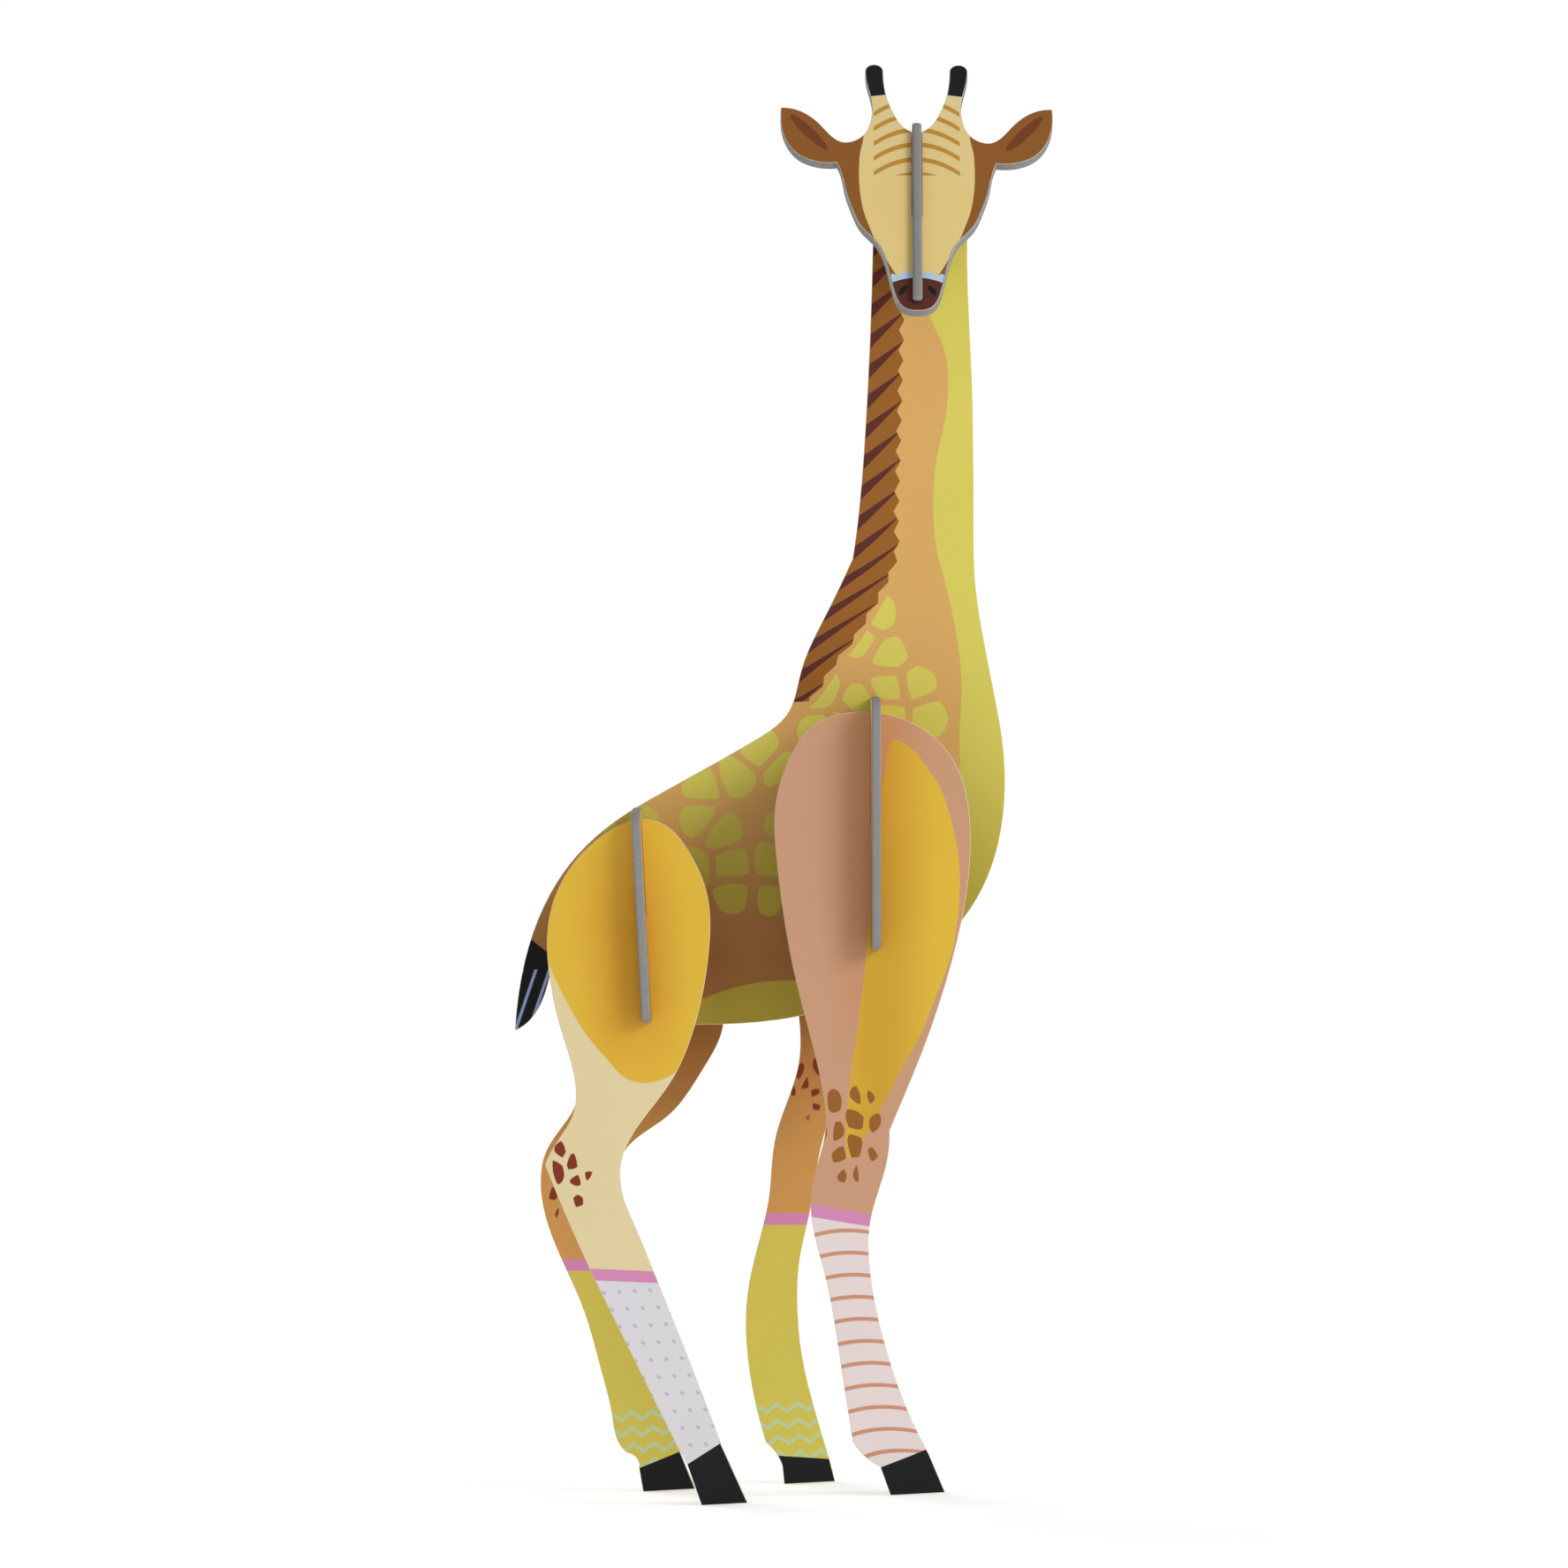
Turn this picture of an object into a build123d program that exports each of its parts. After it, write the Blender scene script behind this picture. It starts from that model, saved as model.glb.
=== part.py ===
from build123d import *
import os
from math import cos, radians, sin

# Slot-together giraffe figure of nine pieces, die-cut from printed greyboard.
# The body board stands in the XZ plane and faces +X. Two cross boards push up into it from below, and
# each carries a leg plate at either side. A head board drops over the neck and carries the face plate.
# Every joint is a cross lap: two slots, one in each piece, that meet at the middle of the overlap.
# Lengths are in millimetres. +Z is up, and the soles stand on Z = 0.

# The board and its laps
BOARD = 2.0              # greyboard thickness
SLOT_GAP = 0.12          # width of a slot over the board that goes into it

# Heights and lengths of the figure
LEG_LENGTH = 99.0        # soles to belly line
NECK_REACH = 173.0       # belly line to the top of the neck
BODY_LENGTH = 49.5       # hip lap to shoulder lap, along X
NECK_BASE = 68.0         # belly line to the foot of the neck
FRONT_KNEE = 58.0        # soles to the front knees
HOCK = 72.0              # soles to the points of the hocks

# Cross boards and leg plates
LEG_SPACING = 40.0       # between the middles of a right and a left leg plate
SHOULDER_RISE = 40.0     # belly line to the shoulder lap
SHOULDER_HEIGHT = 52.5   # shoulder board, bottom to top
SHOULDER_FIN = 7.0       # shoulder board outside a leg plate's outer face
SHOULDER_LEAN = 3.0      # degrees, top of the shoulder board forward
HIP_RISE = 23.5          # belly line to the hip lap
HIP_HEIGHT = 44.5        # hip board, bottom to top
HIP_FIN = 5.5            # hip board outside a leg plate's outer face
CROSS_CORNER = 4.0       # corner radius of the cross boards
CROSS_CROWN = 1.0        # rise of a cross board's top edge in the middle

# Head
HEAD_FORWARD = 15.2      # shoulder lap to head lap, along X
HEAD_LAP = 20.0          # overlap of the head board and the neck
HEAD_LEAN = 3.5          # degrees, top of the head board forward
FACE_TILT = 38.0         # degrees, face plate from upright, nose out
FACE_GAP = 2.0           # neck to the back of the face plate, at the top of the neck
FACE_BELOW = 36.5        # face plate from its lowest point to the level of the neck's top
FACE_LAP_END = 26.0      # lowest point of the face plate to the end of its slot
FACE_NOTCH = 49.5        # lowest point of the face plate to the notch between the horns
HORN_HEIGHT = 69.0       # lowest point of the face plate to the tips of the horns
EAR_SPAN = 57.0          # ear tip to ear tip
CHEEK_SPAN = 33.4        # across the cheeks, where the ears begin
RIDGE = 1.8              # head board in front of the face plate

SLOT = BOARD + SLOT_GAP
PAST_EDGE = LEG_LENGTH + NECK_REACH      # length of a slot's cutter, past every edge of a board
BELLY = LEG_LENGTH
NECK_TOP = BELLY + NECK_REACH
HIP_X = -BODY_LENGTH                     # X is measured from the shoulder lap until the last step
SHOULDER_LAP = (0, BELLY + SHOULDER_RISE)
HIP_LAP = (HIP_X, BELLY + HIP_RISE)
NECK_LAP = (HEAD_FORWARD, NECK_TOP - HEAD_LAP / 2)


# Drawing aids


def cut(points):
    """Straight cut through two points, round cut through three, or smooth curve through more."""
    if len(points) == 2:
        return Line(*points)
    if len(points) == 3:
        return ThreePointArc(*points)
    return Spline(*points)


def cut_shape(*runs):
    """Face inside runs of points, where each run starts at the end of the one before."""
    return make_face(Wire([cut(run) for run in runs]))


def up_slot(lap, lean=0.0):
    """Slot from a lap point up to past the edge of the board, leaning to the right."""
    return Pos(*lap) * Rot(0, 0, -lean) * Rectangle(SLOT, PAST_EDGE, align=(Align.CENTER, Align.MIN))


def down_slot(lap, lean=0.0):
    """Slot from a lap point down to past the edge of the board, along the same line."""
    return Pos(*lap) * Rot(0, 0, -lean) * Rectangle(SLOT, PAST_EDGE, align=(Align.CENTER, Align.MAX))


def board(sketch, plane):
    """Sheet of greyboard with its middle in the plane."""
    return extrude(plane.offset(-BOARD / 2) * sketch, BOARD)


def upright(y=0.0):
    """Plane along X, seen from the right side of the animal: sketch x is X and sketch y is Z."""
    return Plane(origin=(0, y, 0), x_dir=(1, 0, 0), z_dir=(0, -1, 0))


def across(lap, lean):
    """Plane along Y through a lap, leaning forward: sketch x is Y, and sketch y runs up from the lap."""
    tilt = radians(lean)
    return Plane(origin=(lap[0], 0, lap[1]), x_dir=(0, 1, 0), z_dir=(cos(tilt), 0, -sin(tilt)))


# Points of the outlines. Each is placed by its distance along X from the shoulder lap or the hip lap,
# and by a height, or by its part of the way between two of the figure's heights.


def between(low, high, part):
    return low + part * (high - low)


def chest(x, z):
    """Point by the shoulder lap, at a height over the belly line."""
    return (x, BELLY + z)


def rump(x, z):
    """Point by the hip lap, at a height over the belly line."""
    return (HIP_X + x, BELLY + z)


def neck(x, part):
    """Point by the shoulder lap, part of the way up the neck."""
    return (x, BELLY + between(NECK_BASE, NECK_REACH, part))


def shin(x, part):
    """Point by the shoulder lap, part of the way from the soles to the front knees."""
    return (x, part * FRONT_KNEE)


def forearm(x, part):
    """Point by the shoulder lap, part of the way from the front knees to the belly line."""
    return (x, between(FRONT_KNEE, BELLY, part))


def shank(x, part):
    """Point by the hip lap, part of the way from the soles to the hocks."""
    return (HIP_X + x, part * HOCK)


def thigh(x, part):
    """Point by the hip lap, part of the way from the hocks to the belly line."""
    return (HIP_X + x, between(HOCK, BELLY, part))


# The nine boards


def body_board():
    nape = [(6.5, NECK_TOP - 6), neck(4.7, 0.73), neck(2.2, 0.5), neck(-0.1, 0.34), neck(-1.7, 0.26)]
    back = [nape[-1], neck(-7.7, 0.155), neck(-13.8, 0.04), chest(-16.8, 64), chest(-24.5, 58.3),
            rump(7, 49.4), rump(-6, 42.3), rump(-15.3, 34), rump(-21.6, 24.2), rump(-25.6, 13.5),
            rump(-28, 0.5)]
    tuft = [back[-1], rump(-25.3, 2), rump(-21, 8.8), rump(-19.5, 14)]
    belly = [tuft[-1], rump(-16.5, 6), rump(-9, 1), rump(2, 0), rump(15.5, -0.5), chest(-17, 0.5),
             chest(-4, 4), chest(9, 10.5), chest(17.5, 19)]
    breast = [belly[-1], chest(24.5, 31), chest(27.5, 45), chest(27.6, 55), neck(26, 0), neck(24.5, 0.105),
              neck(23.6, 0.21), neck(24, 0.32), neck(24.7, 0.46), neck(25.2, 0.6), neck(25.3, 0.74),
              (26.3, NECK_TOP - 6)]
    crown = [breast[-1], (22.5, NECK_TOP - 1.5), (16.4, NECK_TOP), (10.5, NECK_TOP - 1.5), nape[0]]
    sketch = cut_shape(nape, back, tuft, belly, breast, crown)
    sketch -= down_slot(SHOULDER_LAP, SHOULDER_LEAN)
    sketch -= down_slot(HIP_LAP)
    sketch -= up_slot(NECK_LAP, HEAD_LEAN)
    return board(sketch, upright())


def cross_board(lap, lean, height, fin):
    """Board across the body, which drops into its middle slot. Leg plates push up into the other two."""
    half_width = LEG_SPACING / 2 + BOARD / 2 + fin
    top, bottom = height / 2 - CROSS_CROWN, -height / 2
    crowned = [(half_width, top), (0, top + CROSS_CROWN), (-half_width, top)]
    sketch = cut_shape([(-half_width, bottom), (half_width, bottom)], [(half_width, bottom), crowned[0]],
                       crowned, [crowned[-1], (-half_width, bottom)])
    sketch = fillet(sketch.vertices(), CROSS_CORNER)
    sketch -= up_slot((0, 0))
    for side in (-1, 1):
        sketch -= down_slot((side * LEG_SPACING / 2, 0))
    return board(sketch, across(lap, lean))


def leg_plate(side, lap, lean, runs):
    """Plate that hangs on a cross board, on the right (-1) or the left (1) of the animal."""
    sketch = cut_shape(*runs) - up_slot(lap, lean)
    return board(sketch, upright(side * LEG_SPACING / 2))


def shoulder_top(front, rear):
    """Round top of a front leg plate, between the last point of its front and the first of its rear."""
    return [front, chest(17.8, 24), chest(19.4, 38), chest(16.7, 52), chest(9.5, 59.7), chest(2, 62.6),
            chest(-5, 63), chest(-11.5, 61), chest(-17, 54.5), chest(-20.6, 44.5), chest(-20.9, 33), rear]


def right_front_leg():
    front = [(4, 8), (0, 17.5), (-3.6, 30), shin(-6.1, 0.8), shin(-5.5, 0.98), forearm(-2, 0.22),
             forearm(-0.6, 0.42)]
    rear = [*shoulder_top(chest(12.6, 6), chest(-18.2, 8)), forearm(-14, 0.66), forearm(-13.8, 0.44),
            forearm(-16.6, 0.21), forearm(-17.7, 0.05), shin(-15.7, 0.81), (-13, 25), (-11.6, 11.5)]
    rear = [front[-1], forearm(2.4, 0.57), forearm(7.6, 0.84), *rear]
    heel = [rear[-1], (-9.6, 8.6), (-6.2, 6)]
    hoof = [(-4.4, 0), (6.9, 0)]
    return leg_plate(-1, SHOULDER_LAP, SHOULDER_LEAN,
                     [front, rear, heel, [heel[-1], hoof[0]], hoof, [hoof[-1], front[0]]])


def left_front_leg():
    front = [(-16.5, 4.5), (-18.1, 11), (-19.6, 17.7), (-21, 25.5), shin(-21.6, 0.62), shin(-20.4, 0.83),
             shin(-18, 0.98), forearm(-15.5, 0.25), forearm(-10.5, 0.56)]
    rear = [*shoulder_top(chest(9, 5.5), chest(-19.3, 12)), chest(-18, -1), forearm(-18.6, 0.75),
            forearm(-24.4, 0.37), forearm(-26.4, 0.07), shin(-30.3, 0.82), shin(-32.4, 0.66),
            (-32.8, 30), (-32, 20), (-29.8, 9)]
    rear = [front[-1], forearm(-3.5, 0.8), *rear]
    heel = [rear[-1], (-28, 7), (-26.6, 4)]
    hoof = [(-26.4, 0), (-15.6, 0)]
    return leg_plate(1, SHOULDER_LAP, SHOULDER_LEAN,
                     [front, rear, heel, [heel[-1], hoof[0]], hoof, [hoof[-1], front[0]]])


def hip_top(rear, front):
    """Round top of a hind leg plate, between the last point of its rear and the first of its front."""
    return [rear, rump(-19.6, 12), rump(-19.4, 22), rump(-16.5, 30.5), rump(-11, 37.4), rump(-4, 42),
            rump(1, 43.3), rump(5.5, 42.1), rump(10.6, 36), rump(13.9, 26.8), rump(13.6, 15.5), front]


def right_hind_leg():
    hock = [(HIP_X + 3.5, 8.5), (HIP_X - 1, 18.5), shank(-7.3, 0.46), shank(-15.5, 0.73), shank(-20.6, 0.92),
            shank(-22.6, 1.0)]
    front = [hock[-1], thigh(-19.5, 0.19), thigh(-16, 0.4), thigh(-15.4, 0.58),
             *hip_top(rump(-18, 1.5), rump(10, 0.5)), thigh(4.2, 0.58), thigh(-2.3, 0.29), thigh(-6.5, 0.03),
             shank(-7.2, 0.93), shank(-4.7, 0.81), shank(-0.3, 0.635), (HIP_X + 4.7, 31), (HIP_X + 10.8, 12)]
    hoof = [(HIP_X + 15.5, 0), (HIP_X + 6, 0)]
    return leg_plate(-1, HIP_LAP, 0, [hock, front, [front[-1], hoof[0]], hoof, [hoof[-1], hock[0]]])


def left_hind_leg():
    heel = [(HIP_X - 7.4, 5), (HIP_X - 8, 7.4), (HIP_X - 9.8, 8.4)]
    hock = [heel[-1], (HIP_X - 11.4, 10.5), (HIP_X - 12.6, 17), (HIP_X - 14.1, 25), shank(-17.4, 0.545),
            shank(-22.4, 0.73), shank(-24.9, 0.87), shank(-24.7, 0.96)]
    front = [hock[-1], thigh(-21.5, 0.15), thigh(-16.8, 0.39), thigh(-16, 0.68),
             *hip_top(rump(-18, 4), rump(15.2, -2)), thigh(10.5, 0.61), thigh(2.5, 0.26), thigh(-6.8, 0.01),
             shank(-9.2, 0.9), shank(-8, 0.75), (HIP_X - 5, 38), (HIP_X - 1.5, 18), (HIP_X + 1.4, 8)]
    hoof = [(HIP_X + 4.2, 0), (HIP_X - 6.8, 0)]
    return leg_plate(1, HIP_LAP, 0,
                     [heel, hock, front, [front[-1], hoof[0]], hoof, [hoof[-1], heel[0]]])


def face_line(along, out):
    """Point of the head board's sketch, by its distance up the face plate and out from its middle."""
    tilt = radians(FACE_TILT)
    back_y = -BOARD / 2 - FACE_GAP - BOARD / 2 / cos(tilt)
    start = Vector(back_y - FACE_BELOW * sin(tilt), HEAD_LAP / 2 - FACE_BELOW * cos(tilt))
    point = start + Vector(sin(tilt), cos(tilt)) * along + Vector(-cos(tilt), sin(tilt)) * out
    return (point.X, point.Y)


def head_board():
    jaw_z = -HEAD_LAP / 2
    nose = face_line(1.6, BOARD / 2 + RIDGE)
    brow = face_line(FACE_NOTCH + 1.5, BOARD / 2 + RIDGE)
    chin = face_line(3.5, -BOARD)
    skull = [brow, (6.5, jaw_z + 31), (12, jaw_z + 23), (13, jaw_z + 14), (10, jaw_z + 4.5), (4.5, jaw_z)]
    jaw = [skull[-1], (-3, jaw_z - 0.5), (-10, jaw_z - 2), (-17, jaw_z - 4.5), chin]
    sketch = cut_shape([nose, brow], skull, jaw, [chin, nose])
    sketch = fillet(sketch.vertices().sort_by(Axis.X)[0], RIDGE / 2)
    sketch -= down_slot((0, 0))
    sketch -= down_slot(face_line(FACE_LAP_END, 0), FACE_TILT)
    return board(sketch, across(NECK_LAP, HEAD_LEAN))


def face_plate():
    def ear(part, y):
        return (between(CHEEK_SPAN / 2, EAR_SPAN / 2, part), y)

    def horn(x, part):
        return (x, between(FACE_NOTCH, HORN_HEIGHT, part))

    muzzle = [(0, 0), (3.2, 1), (5, 5), (7.2, 15.5), (8.6, 18.8), (11.7, 23), (13.5, 27.5), (15.2, 34),
              (15.8, 38), ear(0, 41)]
    ear_under = [muzzle[-1], ear(0.4, 41.3), ear(0.67, 43), ear(0.9, 47), ear(1, 52), ear(1, 56.5)]
    ear_top = [ear_under[-1], ear(0.6, 55.2), ear(0.3, 51.8), (18, 48.7), (15.4, 46.8), (12, 48),
               horn(9.7, 0.16), horn(9.4, 0.43), horn(10.4, 0.7), horn(10.8, 0.9)]
    tip = [ear_top[-1], horn(8.9, 1), horn(7, 0.9)]
    notch = [tip[-1], horn(6.2, 0.51), horn(4.7, 0.27), horn(2.4, 0.07), horn(0, 0)]
    half = cut_shape(muzzle, ear_under, ear_top, tip, notch, [notch[-1], muzzle[0]])
    sketch = half + mirror(half, Plane.YZ) - up_slot((0, FACE_LAP_END))
    tilt = radians(FACE_TILT)
    head = across(NECK_LAP, HEAD_LEAN)
    foot = head.from_local_coords(Vector(*face_line(0, 0), 0))
    front = head.y_dir * sin(tilt) - head.x_dir * cos(tilt)
    return board(sketch, Plane(origin=foot, x_dir=head.z_dir, z_dir=front))


pieces = {
    "body_board": body_board(),
    "shoulder_board": cross_board(SHOULDER_LAP, SHOULDER_LEAN, SHOULDER_HEIGHT, SHOULDER_FIN),
    "hip_board": cross_board(HIP_LAP, 0, HIP_HEIGHT, HIP_FIN),
    "right_front_leg": right_front_leg(),
    "left_front_leg": left_front_leg(),
    "right_hind_leg": right_hind_leg(),
    "left_hind_leg": left_hind_leg(),
    "head_board": head_board(),
    "face_plate": face_plate(),
}

# The origin is under the middle of the whole figure.
box = Compound(list(pieces.values())).bounding_box()
centred = Pos(-box.center().X, 0, 0)

os.makedirs("parts", exist_ok=True)
for name, piece in pieces.items():
    piece = centred * piece
    export_step(piece, f"parts/{name}.step")
    size = piece.bounding_box()
    print(name, tuple(round(v, 2) for v in (*size.min, *size.max)))
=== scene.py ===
"""Looks of the slot-together giraffe: nine die-cut greyboard pieces with a printed face on both sides.

The pieces are the CAD nodes themselves. Each gets rounded die-cut edges and one material, whose shader
nodes draw the print, the paper's cut edge and the grey board between, from the piece's own coordinates.
"""

from math import cos, radians, sin

import bpy
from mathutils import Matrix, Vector


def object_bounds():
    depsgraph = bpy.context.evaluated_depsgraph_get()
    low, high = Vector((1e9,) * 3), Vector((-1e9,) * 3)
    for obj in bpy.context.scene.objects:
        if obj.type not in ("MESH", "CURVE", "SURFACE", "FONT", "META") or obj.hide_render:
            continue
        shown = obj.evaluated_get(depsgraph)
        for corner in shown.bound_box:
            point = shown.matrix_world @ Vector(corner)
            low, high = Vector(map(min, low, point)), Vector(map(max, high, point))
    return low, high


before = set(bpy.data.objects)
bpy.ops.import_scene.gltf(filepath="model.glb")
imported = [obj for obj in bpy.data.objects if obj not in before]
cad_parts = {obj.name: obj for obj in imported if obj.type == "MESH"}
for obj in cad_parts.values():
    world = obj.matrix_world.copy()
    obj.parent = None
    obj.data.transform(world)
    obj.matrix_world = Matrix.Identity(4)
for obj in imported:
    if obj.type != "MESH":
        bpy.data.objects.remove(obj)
cad_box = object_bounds()

MM = 0.001
SHOULDER_LEAN = radians(3.0)     # top of the shoulder board, forward
HEAD_LEAN = radians(3.5)         # top of the head board, forward
FACE_TILT = radians(38.0)        # face plate from upright, nose out


def srgb(red, green, blue):
    """Linear colour from sRGB values of 0 to 255."""
    def linear(value):
        share = value / 255
        return share / 12.92 if share <= 0.04045 else ((share + 0.055) / 1.055) ** 2.4

    return (linear(red), linear(green), linear(blue), 1.0)


# Inks, board and paper
TAN = srgb(214, 168, 98)
# painted shade: the tan coat darker low on the body and at the cross boards' foot, where the plates shade
# them
TAN_PAINTED_SHADE = srgb(150, 95, 52)
LEAF = srgb(213, 203, 93)
# painted shade: the green patches darker low on the body and at the cross boards' foot
LEAF_PAINTED_SHADE = srgb(168, 146, 48)
MANE = srgb(150, 95, 38)
BRISTLE = srgb(92, 46, 40)
CLAY = srgb(197, 150, 119)
# painted shade with a warm painted bounce: the clay coat beside the shoulder fin
CLAY_PAINTED_FIN_SHADE = srgb(192, 130, 84)
MUSTARD = srgb(219, 180, 60)
# painted shade: the mustard coat beside the shoulder fin
MUSTARD_PAINTED_FIN_SHADE = srgb(190, 138, 44)
# painted shade with a warm painted bounce: the mustard coat beside the hip fin
MUSTARD_PAINTED_HIND_FIN_SHADE = srgb(210, 138, 42)
CREAM = srgb(221, 204, 158)
FAR_TAN = srgb(203, 150, 84)
# painted shade: the legs' inner coat darker at the top, under the body
FAR_PAINTED_SHADE = srgb(150, 92, 46)
HEM = srgb(208, 134, 178)
PALE_SOCK = srgb(224, 210, 207)
LILAC_SOCK = srgb(213, 211, 213)
LILAC_LINE = srgb(184, 180, 200)
CLAY_LINE = srgb(200, 142, 114)
LEAF_SOCK = srgb(206, 191, 85)
LEAF_LINE = srgb(186, 203, 156)
FLECK = srgb(150, 94, 42)
FLECK_RED = srgb(128, 52, 34)
BLACK = srgb(26, 28, 29)
SKY = srgb(148, 170, 216)
PALE_SKY = srgb(180, 206, 226)
COAT = srgb(144, 90, 40)
INNER_EAR = srgb(118, 64, 34)
FACE = srgb(229, 203, 132)
OCHRE = srgb(190, 142, 56)
NOSE = srgb(90, 46, 38)
GREYBOARD = srgb(139, 139, 138)
DARK_FIBRE = srgb(112, 111, 109)
PALE_SPECK = srgb(190, 188, 182)
PAPER = srgb(228, 214, 184)


# Cells: how uneven they are, and their spots' largest radius and rounding as shares of the cell's size
CELL_UNEVENNESS = 0.75
CELL_REACH = 0.56
CELL_ROUNDING = 0.12

# Grain: sizes of its blobs in millimetres
PAPER_GRAIN = 0.35
PAPER_TONE = 22.0
CORE_FIBRE = 0.9
CORE_SPECK = 0.22
PAPER_RAG = 1.6          # unevenness of the paper's cut edge
FIBRE_DEPTH = 0.06       # millimetres that the deepest fibre stands back


# Fields: numbers over a surface, made of shader nodes


class Field:
    """A number that varies over the surface. It adds, subtracts, multiplies and divides."""

    def __init__(self, tree, socket):
        self.tree = tree
        self.socket = socket

    def math(self, operation, *others):
        node = self.tree.nodes.new("ShaderNodeMath")
        node.operation = operation
        for slot, value in zip(node.inputs, (self, *others)):
            plug(self.tree, slot, value)
        return Field(self.tree, node.outputs[0])

    def __add__(self, other):
        return self.math("ADD", other)

    def __sub__(self, other):
        return self.math("SUBTRACT", other)

    def __mul__(self, other):
        return self.math("MULTIPLY", other)

    def __truediv__(self, other):
        return self.math("DIVIDE", other)

    def __radd__(self, other):
        return self + other

    def __rsub__(self, other):
        return (self * -1) + other

    def __abs__(self):
        return self.math("ABSOLUTE")

    def least(self, other):
        return self.math("MINIMUM", other)

    def most(self, other):
        return self.math("MAXIMUM", other)

    def ramp(self, low, high):
        """0 at low and past it, 1 at high and past it, and smooth between. Either may be the larger."""
        node = self.tree.nodes.new("ShaderNodeMapRange")
        node.interpolation_type = "SMOOTHSTEP"
        plug(self.tree, node.inputs["Value"], self)
        node.inputs["From Min"].default_value = low
        node.inputs["From Max"].default_value = high
        return Field(self.tree, node.outputs["Result"])

    def inside(self, blur=0.12):
        """1 where the number is positive, with a printed line's softness in millimetres."""
        return self.ramp(-blur / 2, blur / 2)

    def wave(self, pitch):
        """0 in the middle of each repeat of the pitch and 1 half way between."""
        return abs((self / pitch).math("FRACT") - 0.5) * 2

    def curve(self, points):
        """Smooth curve through points of this number and a result, which stays level past the last ones."""
        lows = [min(values) for values in zip(*points)]
        spans = [max(values) - min(values) for values in zip(*points)]
        node = self.tree.nodes.new("ShaderNodeFloatCurve")
        line = node.mapping.curves[0]
        spots = sorted(((a - lows[0]) / spans[0], (b - lows[1]) / spans[1]) for a, b in points)
        for _ in spots[2:]:
            line.points.new(0.5, 0.5)
        for point, spot in zip(line.points, spots):
            point.location = spot
        node.mapping.update()
        plug(self.tree, node.inputs["Value"], (self - lows[0]) / spans[0])
        return Field(self.tree, node.outputs["Value"]) * spans[1] + lows[1]


def plug(tree, slot, value):
    """Gives a node's input a field, a link or a plain value."""
    if isinstance(value, Field):
        tree.links.new(value.socket, slot)
    elif isinstance(value, bpy.types.NodeSocket):
        tree.links.new(value, slot)
    else:
        slot.default_value = value


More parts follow.
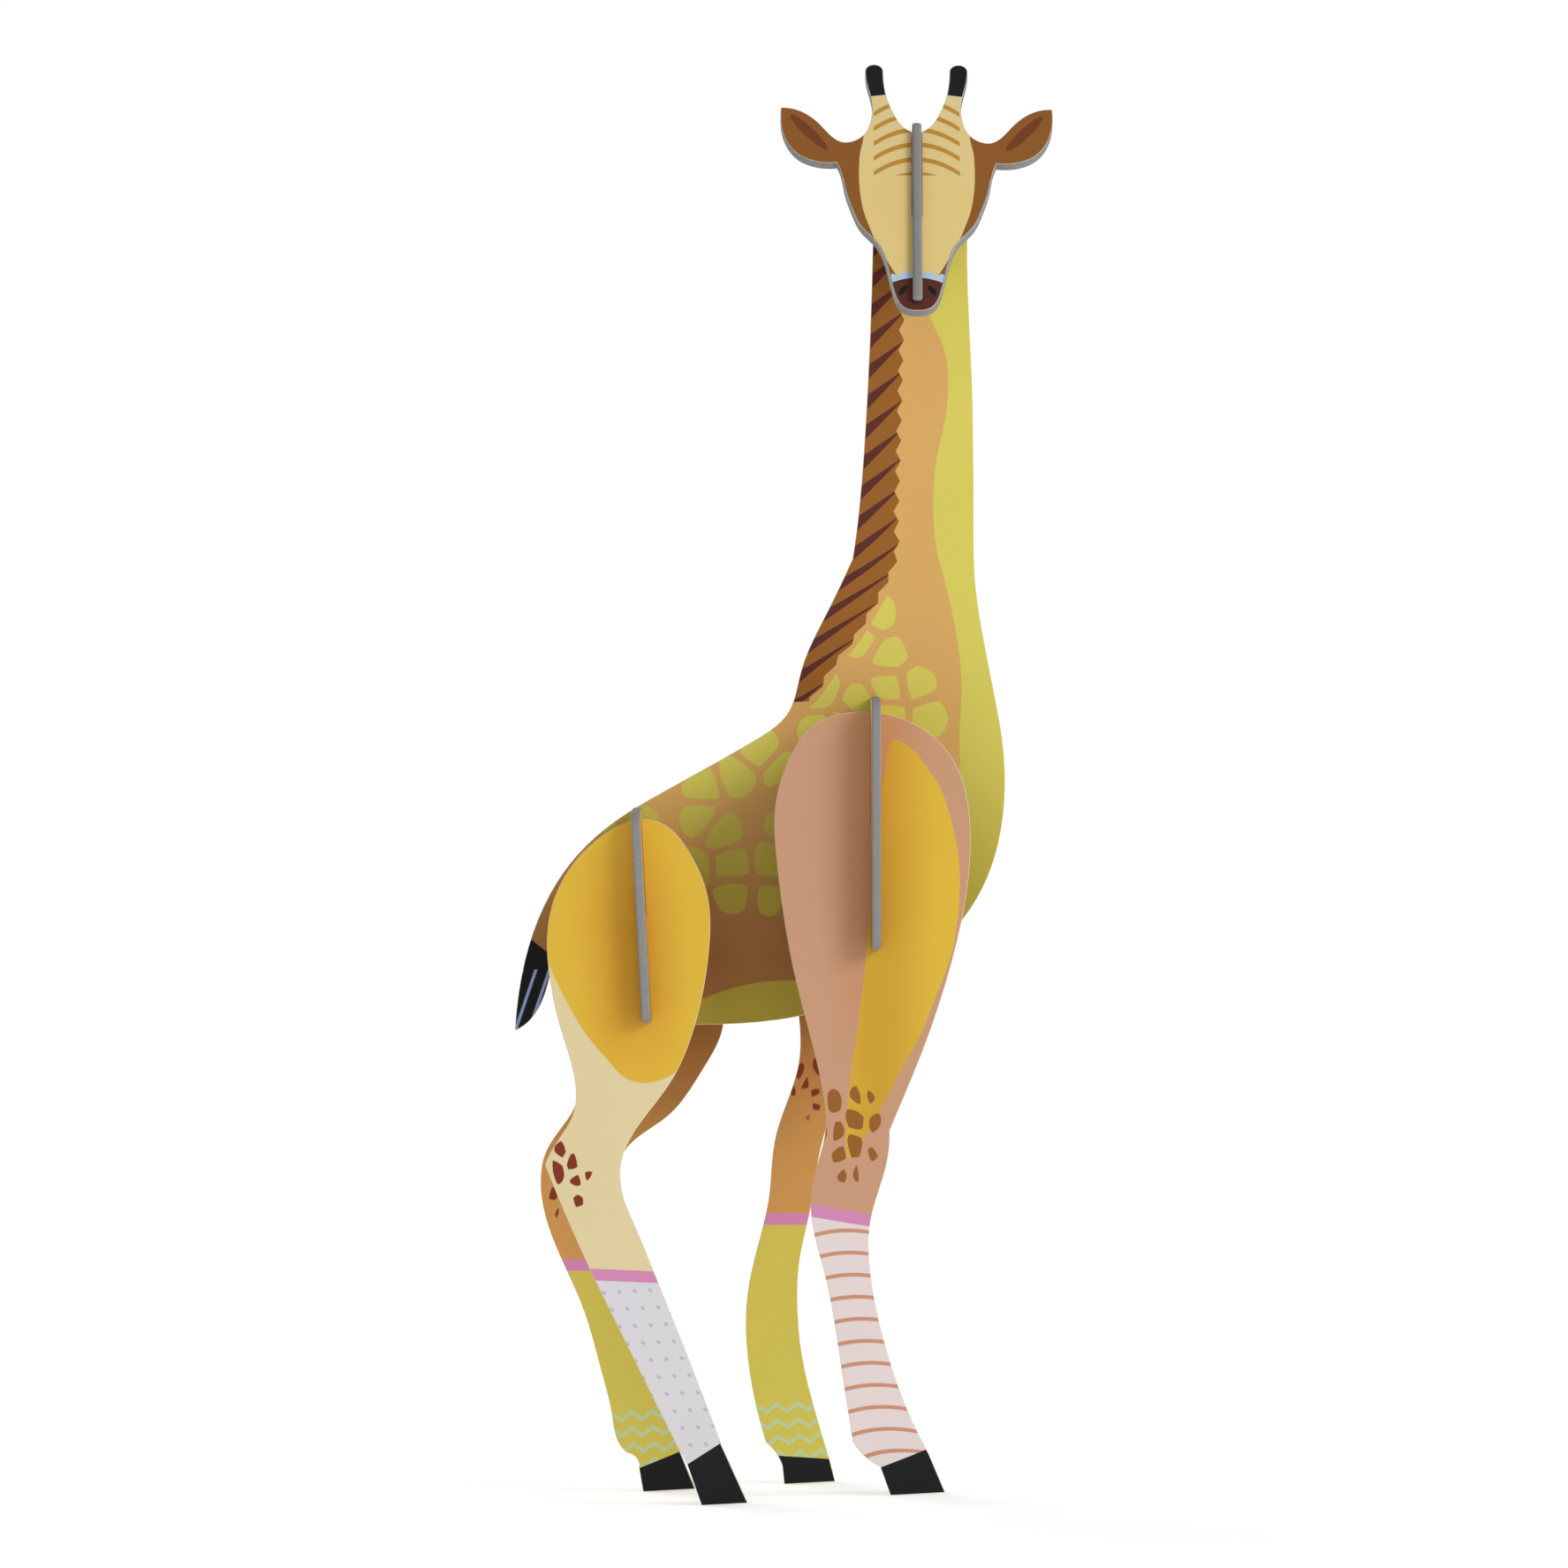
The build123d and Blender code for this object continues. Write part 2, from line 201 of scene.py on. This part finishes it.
class Sheet:
    """One board: its axes across and up the face and through the board, and the nodes of its material."""

    def __init__(self, name, across, up, origin=None):
        self.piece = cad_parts[name]
        self.across, self.up = Vector(across), Vector(up)
        self.normal = self.across.cross(self.up)
        spots = [vertex.co for vertex in self.piece.data.vertices]
        self.origin = self.corner(spots) if origin is None else origin
        through = [(spot - self.origin).dot(self.normal) for spot in spots]
        self.origin = self.origin + self.normal * (min(through) + max(through)) / 2
        self.thickness = (max(through) - min(through)) / MM
        self.material = bpy.data.materials.new(name)
        self.material.use_nodes = True
        self.tree = self.material.node_tree
        self.tree.nodes.clear()
        places = self.add("ShaderNodeTexCoord").outputs
        place = self.vector("SUBTRACT", places["Object"], self.origin)
        self.place = self.vector("SCALE", place, scale=1 / MM)
        self.u = self.along(self.place, self.across)
        self.v = self.along(self.place, self.up)
        self.depth = self.along(self.place, self.normal)
        self.facing = abs(self.along(places["Normal"], self.normal))

    def corner(self, spots):
        """Middle of the board's width at its lowest point, which is where u and v are 0."""
        wide = [spot.dot(self.across) for spot in spots]
        low = min(spot.dot(self.up) for spot in spots)
        middle = self.across * (min(wide) + max(wide)) / 2
        return middle + self.up * low + self.normal * spots[0].dot(self.normal)

    def reach(self, v):
        """The lowest and the highest u that the board's outline has at a height."""
        crossings = []
        spots = [vertex.co - self.origin for vertex in self.piece.data.vertices]
        for edge in self.piece.data.edges:
            low, high = sorted((spots[index].dot(self.up) / MM, spots[index].dot(self.across) / MM)
                               for index in edge.vertices)
            if low[0] <= v < high[0]:
                crossings.append(low[1] + (high[1] - low[1]) * (v - low[0]) / (high[0] - low[0]))
        return min(crossings), max(crossings)

    def outline(self, heights, side):
        """Curve along the board's outline: side 0 is its low edge, 1 its high edge and 0.5 its middle."""
        ends = [(v, *self.reach(v)) for v in heights]
        return self.v.curve([(v, low + (high - low) * side) for v, low, high in ends])

    def add(self, kind, **settings):
        node = self.tree.nodes.new(kind)
        for key, value in settings.items():
            setattr(node, key, value)
        return node

    def vector(self, operation, first, second=None, scale=None):
        node = self.add("ShaderNodeVectorMath", operation=operation)
        plug(self.tree, node.inputs[0], first)
        if second is not None:
            plug(self.tree, node.inputs[1], second)
        if scale is not None:
            node.inputs["Scale"].default_value = scale
        return node.outputs["Vector"]

    def along(self, place, axis):
        node = self.add("ShaderNodeVectorMath", operation="DOT_PRODUCT")
        plug(self.tree, node.inputs[0], place)
        plug(self.tree, node.inputs[1], axis)
        return Field(self.tree, node.outputs["Value"])

    def flat_place(self, u, v):
        """Place on the face as a vector, in millimetres."""
        node = self.add("ShaderNodeCombineXYZ")
        plug(self.tree, node.inputs["X"], u)
        plug(self.tree, node.inputs["Y"], v)
        return node.outputs["Vector"]

    def noise(self, size, place=None, detail=2.0):
        """Noise around 0, from about -1 to 1, whose blobs are that many millimetres wide."""
        node = self.add("ShaderNodeTexNoise")
        plug(self.tree, node.inputs["Vector"], self.place if place is None else place)
        node.inputs["Scale"].default_value = 1 / size
        node.inputs["Detail"].default_value = detail
        return (Field(self.tree, node.outputs["Fac"]) - 0.5) * 2

    def cells(self, size, gap, stretch=1.0, wobble=0.0):
        """Irregular cells: the distance inside each one's rounded spot in millimetres, and its centre's u and
        v. Gap is half the seam between two spots, and wobble bends the seams."""
        nearest = []
        for feature in ("F2", "F1"):
            node = self.add("ShaderNodeTexVoronoi", voronoi_dimensions="2D", feature=feature)
            plug(self.tree, node.inputs["Vector"], self.flat_place(self.u + wobble, self.v / stretch))
            node.inputs["Scale"].default_value = 1 / size
            node.inputs["Randomness"].default_value = CELL_UNEVENNESS
            nearest.append(Field(self.tree, node.outputs["Distance"]) * size)
        seam = (nearest[0] - nearest[1]) / 2 - gap
        spot = seam.math("SMOOTH_MIN", size * CELL_REACH - nearest[1], size * CELL_ROUNDING)
        centre = node.outputs["Position"]
        return spot, self.along(centre, Vector((1, 0, 0))), self.along(centre, Vector((0, 1, 0))) * stretch

    def oval(self, u, v, half_wide, half_high, turn=0.0, at=None):
        """About the distance in millimetres inside an oval, with its turn in degrees."""
        here = at or (self.u, self.v)
        aside, above = here[0] - u, here[1] - v
        a = (aside * cos(radians(turn)) + above * sin(radians(turn))) / half_wide
        b = (above * cos(radians(turn)) - aside * sin(radians(turn))) / half_high
        return (1 - (a * a + b * b).math("SQRT")) * min(half_wide, half_high)

    def mix(self, share, base, layer):
        """The layer's colour over the base, by its share."""
        node = self.add("ShaderNodeMix", data_type="RGBA")
        plug(self.tree, node.inputs["Factor"], share)
        plug(self.tree, node.inputs["A"], base)
        plug(self.tree, node.inputs["B"], layer)
        return node.outputs[2]


# Prints: each draws the colour over one board's face, from u across and v up in millimetres

# How much a spot shrinks for each millimetre towards the edge of its group, and the slope that leaves out a
# whole spot whose centre lies outside the group
EDGE_SHRINK = 0.12
WHOLE = 99


def body_print(sheet):
    """Trunk, neck and tail. u runs forward and v up from the ground."""
    u, v = sheet.u, sheet.v
    chest_foot, mane_foot, neck_top = 104, 164, 269
    nape = sheet.outline(range(mane_foot, neck_top, 8), 0)
    throat = sheet.outline(range(chest_foot, neck_top, 4), 1)
    wobble = sheet.noise(9.0)
    # painted shade: coat and patches darker towards the belly and between the legs, over the real shadow the
    # leg plates cast
    ground = sheet.mix((v + wobble * 4).ramp(150, 108) * 0.8, TAN, TAN_PAINTED_SHADE)
    leaf = sheet.mix(v.ramp(160, 112) * 0.75, LEAF, LEAF_PAINTED_SHADE)

    swell = v.curve([(104, 3), (118, 5), (146, 9.5), (178, 5.5), (205, 8.5), (232, 5), (250, 9), (268, 7)])
    front = u - throat + swell
    width = v.curve([(163, 0), (172, 6.5), (188, 9.5), (205, 7.8), (268, 6.4)])
    aside = u - nape

    spot, *centre = sheet.cells(8.6, 0.65, wobble=wobble * 0.5)
    saddle = sheet.oval(-4, 148, 45, 21, 28, centre).most(sheet.oval(12, 172, 11, 34, -14, centre))
    patch = (spot - (6 - saddle) * EDGE_SHRINK).least(spot).least(saddle * WHOLE)
    patch = patch.least(front * -1 - 1.8).least(aside - width - 1.6)
    colour = sheet.mix(patch.inside(), ground, leaf)
    colour = sheet.mix(front.inside(), colour, leaf)
    belly = 107 - v - (u + 6) * (u + 6) * 0.012
    colour = sheet.mix(belly.inside(), colour, leaf)

    zigzag = width + v.wave(4.2) * 1.1 - 0.6
    mane = (zigzag - aside).inside() * (v - (mane_foot + 1)).inside()
    colour = sheet.mix(mane, colour, MANE)
    share = aside / width
    bristle = (v - aside * 0.85).wave(6.3) - 0.48 - share * 0.44
    colour = sheet.mix(bristle.ramp(0, 0.05) * mane, colour, BRISTLE)

    tuft_top, tuft_front = 117.5, -49.5
    tuft = (tuft_top - v - (u + 56) * 0.9).least((u - tuft_front) * -1).inside()
    colour = sheet.mix(tuft, colour, BLACK)
    hair = (u * 0.9 - v * 0.36).wave(2.6) - 0.74
    hair = hair.ramp(0, 0.06) * (112 - v).inside() * tuft
    return sheet.mix(hair, colour, SKY)


def flecks(sheet, colour, ink, u, v, size, half_wide, half_high, turn):
    """Loose upright spots within an oval, which shrink towards its edge."""
    spot, *centre = sheet.cells(size, 0.4, stretch=1.6)
    within = sheet.oval(u, v, half_wide, half_high, turn, centre)
    spot = (spot - (half_wide * 0.6 - within) * EDGE_SHRINK).least(spot).least(within * WHOLE)
    return sheet.mix(spot.inside(), colour, ink)


# Each leg: its hoof's height and slope, its hem's height and slope, its knee or hock as a distance from the
# leg's middle line and a height, and where the cross board's fin stands in it
LEGS = {
    "right_front_leg": ((7.3, 0.28), (57.0, -0.22), (-1.4, 75), 16.6),
    "left_front_leg": ((5.5, -0.12), (54.8, -0.05), (-1.8, 84), 16.6),
    "right_hind_leg": ((10.6, 0.46), (47.0, -0.10), (-4.0, 71), -33.4),
    "left_hind_leg": ((6.6, 0.31), (47.2, -0.05), (-3.0, 67), -33.4),
}


def outer_front(sheet, aside, knee, fin):
    """Coat and sock of a front leg's outer face. aside is the distance from the leg's middle line, and near
    the distance from the fin, beside which the coat gets painted shade and a warm painted bounce."""
    v = sheet.v
    fin_middle = 139
    near = abs(sheet.u - fin - (v - fin_middle) * sin(SHOULDER_LEAN))
    # painted shade with a warm painted bounce beside the fin, over the real shadow the fin casts
    ground = sheet.mix(near.ramp(13, 1) * v.ramp(84, 112) * 0.55, CLAY, CLAY_PAINTED_FIN_SHADE)
    middle = v.curve([(70, -1), (84, 1), (100, 5), (120, 8.3), (140, 8.7), (156, 5.5)])
    half = v.curve([(70, 0), (73, 1.6), (84, 4.4), (100, 7.4), (120, 9.2), (140, 7.4), (150, 4.2), (154.5, 2),
                    (156, 0)])
    thigh = (half - abs(aside - middle)).least(v - 70).least(156 - v)
    # painted shade: the mustard thigh darker beside the fin
    mustard = sheet.mix(near.ramp(14, 0) * 0.6, MUSTARD, MUSTARD_PAINTED_FIN_SHADE)
    coat = sheet.mix(thigh.inside(), ground, mustard)
    coat = flecks(sheet, coat, FLECK, *knee, 3.6, 5.6, 11.0, -4)
    rings = (v + aside * aside * 0.02).wave(4.6) - 0.80
    return coat, sheet.mix(rings.ramp(0, 0.05), PALE_SOCK, CLAY_LINE)


def outer_hind(sheet, aside, knee, fin):
    """Coat and sock of a hind leg's outer face, whose painted shade and warm bounce reach further back from
    the fin.
    """
    v = sheet.v
    near = abs(sheet.u - fin + 3)
    # painted shade with a warm painted bounce beside the hip fin, over the real shadow the fin casts, weaker
    # at the top
    glow = near.ramp(14, 3) * v.ramp(80, 104) * v.ramp(150, 118)
    mustard = sheet.mix(glow * 0.5, MUSTARD, MUSTARD_PAINTED_HIND_FIN_SHADE)
    seam = aside.curve([(-20, 124), (-13, 106), (-5, 94), (3, 88), (11, 90), (19, 100)])
    coat = sheet.mix((v - seam).inside(), CREAM, mustard)
    coat = flecks(sheet, coat, FLECK_RED, *knee, 3.0, 4.6, 7.5, 20)
    along = abs((sheet.u + v * 0.4).wave(3.2) * 1.6)
    above = abs(v.wave(3.6) * 1.8)
    dots = 0.42 - (along * along + above * above).math("SQRT")
    return coat, sheet.mix(dots.inside(), LILAC_SOCK, LILAC_LINE)


def inner_leg(sheet, knee):
    """Coat and sock of a leg's inner face: plain coat with painted shade towards the top, under the body,
    above a green sock with zigzag lines near the hoof.
    """
    u, v = sheet.u, sheet.v
    # painted shade: the coat darker towards the top of the leg, under the body
    ground = sheet.mix((v + sheet.noise(10.0) * 6).ramp(62, 118), FAR_TAN, FAR_PAINTED_SHADE)
    coat = flecks(sheet, ground, FLECK_RED, *knee, 3.0, 4.6, 8.0, 8)
    zigzag = v + u.wave(4.4) * 1.6
    lines = (zigzag.wave(3.4) - 0.68).ramp(0, 0.06) * (18.7 - zigzag).inside()
    return coat, sheet.mix(lines, LEAF_SOCK, LEAF_LINE)


def leg_print(sheet):
    """A leg plate, whose outer face is richer than its inner one."""
    name = sheet.piece.name
    (hoof, hoof_slope), (hem, hem_slope), (knee_aside, knee_height), fin = LEGS[name]
    v = sheet.v
    aside = sheet.u - sheet.outline(range(1, 140, 6), 0.5)
    knee = knee_aside + sum(sheet.reach(knee_height)) / 2, knee_height
    outer = outer_front if "front" in name else outer_hind
    outward = sheet.depth.inside() if "right" in name else (sheet.depth * -1).inside()
    coat, sock = (
        sheet.mix(outward, within, without)
        for within, without in zip(inner_leg(sheet, knee), outer(sheet, aside, knee, fin))
    )
    cuff = hem - v + aside * hem_slope
    colour = sheet.mix((cuff + 2.5).inside(), coat, HEM)
    colour = sheet.mix(cuff.inside(), colour, sock)
    return sheet.mix((hoof - v + aside * hoof_slope).inside(), colour, BLACK)


def cross_print(sheet):
    """A cross board: coat with patches in the middle. u is 0 in the board's middle and v at its foot."""
    v = sheet.v
    # painted shade: coat and patches darker towards the board's foot, under the body
    ground = sheet.mix(v.ramp(46, 0), TAN, TAN_PAINTED_SHADE)
    spot, centre_u, _ = sheet.cells(9.0, 0.65)
    patch = (spot - (abs(centre_u) - 14).most(0) * 0.15).inside()
    return sheet.mix(patch, ground, sheet.mix(v.ramp(50, 10), LEAF, LEAF_PAINTED_SHADE))


def head_print(sheet):
    """Side of the head, where u runs from the nose (low) to the nape and v up from the jaw."""
    behind = sheet.u * cos(FACE_TILT) - sheet.v * sin(FACE_TILT) + 21 + sheet.noise(14.0) * 1.2
    return sheet.mix(behind.inside(), FACE, COAT)


def face_print(sheet):
    """Face, ears and horns, where u is 0 in the middle and v runs up from the lowest point of the nose."""
    u, v = sheet.u, sheet.v
    aside = abs(u)
    cheek = v.curve([(8, 3.5), (14, 6.4), (22, 9.6), (32, 11.8), (42, 12.0), (50, 11.2), (56, 16), (70, 16)])
    colour = sheet.mix((cheek - aside).inside(), COAT, sheet.mix(v.ramp(30, 60) * 0.5, FACE, CREAM))
    ear = sheet.oval(22.6, 49.5, 1.2, 6.2, -38)
    ear = ear.most(sheet.oval(-22.6, 49.5, 1.2, 6.2, 38))
    colour = sheet.mix(ear.inside(), colour, INNER_EAR)
    arches = (v + aside * aside * 0.05).wave(4.2) - 0.66
    brow = (v - 37.5).least(9.0 - aside).least(58 - v).inside()
    colour = sheet.mix(arches.ramp(0, 0.06) * brow, colour, OCHRE)
    nose = 9.0 - v - aside * aside * 0.05
    colour = sheet.mix((nose + 1.2 + aside.wave(2.6) * 1.3).inside(), colour, PALE_SKY)
    colour = sheet.mix(nose.inside(), colour, NOSE)
    nostril = sheet.oval(3.0, 5.6, 0.6, 1.5, 30).most(sheet.oval(-3.0, 5.6, 0.6, 1.5, -30))
    colour = sheet.mix(nostril.inside(), colour, BLACK)
    tip = (v - 61.3 + aside * 0.15).inside()
    colour = sheet.mix(tip, colour, BLACK)
    colour = sheet.mix(sheet.depth.inside() + tip, COAT, colour)
    cheek_top, rim_width = 36.5, 0.38
    rim = sheet.outline([0.1, 0.5, 1, 1.5, *range(2, 38, 2)], 1) - rim_width
    bare = (aside - rim).least(cheek_top - v)
    return sheet.mix(bare.inside(), colour, GREYBOARD)


def front_face(sheet):
    """Node group that keeps only the front face of the board's CAD mesh, shaded smooth."""
    tree = bpy.data.node_groups.new("front_face_" + sheet.piece.name, "GeometryNodeTree")
    for way in ("INPUT", "OUTPUT"):
        tree.interface.new_socket("Geometry", in_out=way, socket_type="NodeSocketGeometry")
    start, end = tree.nodes.new("NodeGroupInput"), tree.nodes.new("NodeGroupOutput")
    normal = tree.nodes.new("GeometryNodeInputNormal")
    facing = tree.nodes.new("ShaderNodeVectorMath")
    facing.operation = "DOT_PRODUCT"
    plug(tree, facing.inputs[0], normal.outputs["Normal"])
    plug(tree, facing.inputs[1], sheet.normal)
    other = tree.nodes.new("ShaderNodeMath")
    other.operation = "LESS_THAN"
    plug(tree, other.inputs[0], facing.outputs["Value"])
    plug(tree, other.inputs[1], 0.99)
    delete = tree.nodes.new("GeometryNodeDeleteGeometry")
    delete.domain = "FACE"
    plug(tree, delete.inputs["Geometry"], start.outputs[0])
    plug(tree, delete.inputs["Selection"], other.outputs[0])
    smooth = tree.nodes.new("GeometryNodeSetShadeSmooth")
    plug(tree, smooth.inputs["Geometry"], delete.outputs[0])
    plug(tree, end.inputs[0], smooth.outputs[0])
    return tree


def greyboard(sheet):
    """Colour of the grey core, and the height of its fibres, which lie flat in layers through the board."""
    layered = sheet.vector("SCALE", sheet.place, scale=0.55)
    squeezed = sheet.add("ShaderNodeVectorMath", operation="SCALE")
    squeezed.inputs[0].default_value = sheet.normal
    plug(sheet.tree, squeezed.inputs["Scale"], sheet.depth * 5.0)
    layered = sheet.vector("ADD", layered, squeezed.outputs["Vector"])
    fibre = sheet.noise(CORE_FIBRE, layered, detail=4.0)
    speck = sheet.noise(CORE_SPECK, detail=0.0)
    core = sheet.mix(fibre.ramp(-0.5, 0.5) * 0.22, GREYBOARD, DARK_FIBRE)
    return sheet.mix(speck.ramp(0.34, 0.5) * 0.35, core, PALE_SPECK), fibre


def finish_board(sheet, colour, paper, turn):
    """Wires the material. The print lies on paper of that thickness in millimetres, and ends where an edge's
    rounding has turned by that many degrees."""
    grain = sheet.noise(PAPER_GRAIN, detail=3.0)
    tone = sheet.noise(PAPER_TONE, detail=1.0)
    ink = sheet.vector("SCALE", colour, scale=1.0)
    plug(sheet.tree, ink.node.inputs["Scale"], 1 + grain * 0.03 + tone * 0.03)
    core, fibre = greyboard(sheet)

    skin = sheet.thickness / 2 - paper
    in_paper = (abs(sheet.depth) - skin + sheet.noise(PAPER_RAG) * paper * 0.25).ramp(-0.02, 0.02)
    on_face = sheet.facing.ramp(cos(radians(turn + 3)), cos(radians(turn - 3)))
    side = sheet.mix(in_paper, core, PAPER)
    shader = sheet.add("ShaderNodeBsdfPrincipled")
    plug(sheet.tree, shader.inputs["Base Color"], sheet.mix(on_face, side, ink))
    rough = 0.88 - on_face * 0.30 + grain * 0.04
    plug(sheet.tree, shader.inputs["Roughness"], rough)
    shader.inputs["Specular IOR Level"].default_value = 0.12
    bump = sheet.add("ShaderNodeBump")
    bump.inputs["Strength"].default_value = 0.5
    bump.inputs["Distance"].default_value = FIBRE_DEPTH * MM
    height = grain * 0.12 * on_face + fibre * (1 - on_face)
    plug(sheet.tree, bump.inputs["Height"], height)
    plug(sheet.tree, shader.inputs["Normal"], bump.outputs["Normal"])
    output = sheet.add("ShaderNodeOutputMaterial")
    plug(sheet.tree, output.inputs["Surface"], shader.outputs["BSDF"])
    sheet.piece.material_slots[0].material = sheet.material


def round_edges(sheet, radius):
    """Modifiers that make the board again from its front face and round its die-cut edges, in millimetres."""
    piece = sheet.piece
    face = piece.modifiers.new("front face", "NODES")
    face.node_group = front_face(sheet)
    weld = piece.modifiers.new("weld", "WELD")
    weld.merge_threshold = 0.002 * MM
    flat = piece.modifiers.new("flat face", "DECIMATE")
    flat.decimate_type = "DISSOLVE"
    flat.angle_limit = radians(0.2)
    board = piece.modifiers.new("board", "SOLIDIFY")
    board.thickness = sheet.thickness * MM
    board.offset = -1
    bevel = piece.modifiers.new("die-cut edges", "BEVEL")
    bevel.width = radius * MM
    bevel.segments = 4
    bevel.limit_method = "ANGLE"
    bevel.angle_limit = radians(35)
    bevel.use_clamp_overlap = False
    shade = piece.modifiers.new("even faces", "WEIGHTED_NORMAL")
    shade.weight = 100
    shade.mode = "FACE_AREA"


GROUND = Vector((0, 0, 0))
ALONG, ASIDE, UP = Vector((1, 0, 0)), Vector((0, 1, 0)), Vector((0, 0, 1))
SHOULDER_UP = Vector((sin(SHOULDER_LEAN), 0, cos(SHOULDER_LEAN)))
HEAD_UP = Vector((sin(HEAD_LEAN), 0, cos(HEAD_LEAN)))
FACE_UP = HEAD_UP * cos(FACE_TILT) + ASIDE * sin(FACE_TILT)
FACE_ACROSS = Vector((cos(HEAD_LEAN), 0, -sin(HEAD_LEAN)))

# Cut edges: the paper's thickness, the radius of the edge, and where the print ends on it
PLATE = (0.22, 0.16, 34)
CROSS = (0.06, 0.55, 28)
SKULL = (0.06, 0.7, 14)
MASK = (0.04, 0.15, 10)

# Each board's node, its axes and origin, its print and its cut edge
BOARDS = [
    ("body_board", ALONG, UP, GROUND, body_print, PLATE),
    ("right_front_leg", ALONG, UP, GROUND, leg_print, PLATE),
    ("right_hind_leg", ALONG, UP, GROUND, leg_print, PLATE),
    ("left_front_leg", ALONG, UP, GROUND, leg_print, PLATE),
    ("left_hind_leg", ALONG, UP, GROUND, leg_print, PLATE),
    ("shoulder_board", ASIDE, SHOULDER_UP, None, cross_print, CROSS),
    ("hip_board", ASIDE, UP, None, cross_print, CROSS),
    ("head_board", ASIDE, HEAD_UP, None, head_print, SKULL),
    ("face_plate", FACE_ACROSS, FACE_UP, None, face_print, MASK),
]
for name, across, up, origin, design, (paper, radius, turn) in BOARDS:
    sheet = Sheet(name, across, up, origin)
    finish_board(sheet, design(sheet), paper, turn)
    round_edges(sheet, radius)


# Studio, in metres and watts

FLOOR_RADIUS = 1.3
FLOOR_GLOW = 0.36
BACKDROP_RADIUS = 7.0
WORLD_LIGHT = 0.49
FOCAL_LENGTH = 184.3         # millimetres, on a sensor 36 mm wide
EYE = (-0.00245, -1.680, 0.148)
CAMERA_ROLL = 3.05           # degrees


def glowing_white(name, albedo, glow):
    """Matt white that is also lit from behind."""
    material = bpy.data.materials.new(name)
    material.use_nodes = True
    shader = material.node_tree.nodes["Principled BSDF"]
    shader.inputs["Base Color"].default_value = (albedo, albedo, albedo, 1)
    shader.inputs["Roughness"].default_value = 0.9
    shader.inputs["Emission Color"].default_value = (1, 1, 1, 1)
    shader.inputs["Emission Strength"].default_value = glow
    return material


def light_table():
    """Round pale floor under the object."""
    bpy.ops.mesh.primitive_circle_add(vertices=96, radius=FLOOR_RADIUS, fill_type="NGON")
    floor = bpy.context.object
    floor.name = "light_table"
    floor.data.materials.append(glowing_white("table_white", 0.84, FLOOR_GLOW))


def backdrop():
    """White all round, beyond the floor, which casts no light or shadow of its own."""
    bpy.ops.mesh.primitive_uv_sphere_add(segments=48, ring_count=24, radius=BACKDROP_RADIUS)
    dome = bpy.context.object
    dome.name = "backdrop"
    dome.data.materials.append(glowing_white("backdrop_white", 0.0, 1.0))
    dome.visible_diffuse = False
    dome.visible_glossy = False
    dome.visible_shadow = False


def softbox(name, place, target, size, power):
    """Round soft lamp that points at a target."""
    light = bpy.data.lights.new(name, "AREA")
    light.shape = "DISK"
    light.size = size
    light.energy = power
    lamp = bpy.data.objects.new(name, light)
    lamp.location = place
    lamp.rotation_euler = (Vector(target) - Vector(place)).to_track_quat("-Z", "Y").to_euler()
    bpy.context.scene.collection.objects.link(lamp)


def camera():
    """Level camera in front of the near side, rolled so that the ground rises to the right."""
    lens = bpy.data.cameras.new("camera")
    lens.sensor_width = 36.0
    lens.lens = FOCAL_LENGTH
    lens.clip_end = 50.0
    eye = bpy.data.objects.new("camera", lens)
    eye.location = EYE
    eye.rotation_euler = (radians(90), radians(CAMERA_ROLL), 0)
    bpy.context.scene.collection.objects.link(eye)
    bpy.context.scene.camera = eye


light_table()
backdrop()
chest = Vector((0.0, 0.0, (cad_box[0].z + cad_box[1].z) / 2))
softbox("key", (1.45, -1.3, 1.0), chest, 0.95, 21.0)
softbox("back", (-1.0, 1.5, 0.9), chest, 1.1, 16.0)
camera()
world = bpy.data.worlds.new("studio")
world.use_nodes = True
world.node_tree.nodes["Background"].inputs["Color"].default_value = (1, 1, 1, 1)
world.node_tree.nodes["Background"].inputs["Strength"].default_value = WORLD_LIGHT
bpy.context.scene.world = world
bpy.context.scene.view_settings.view_transform = "Standard"
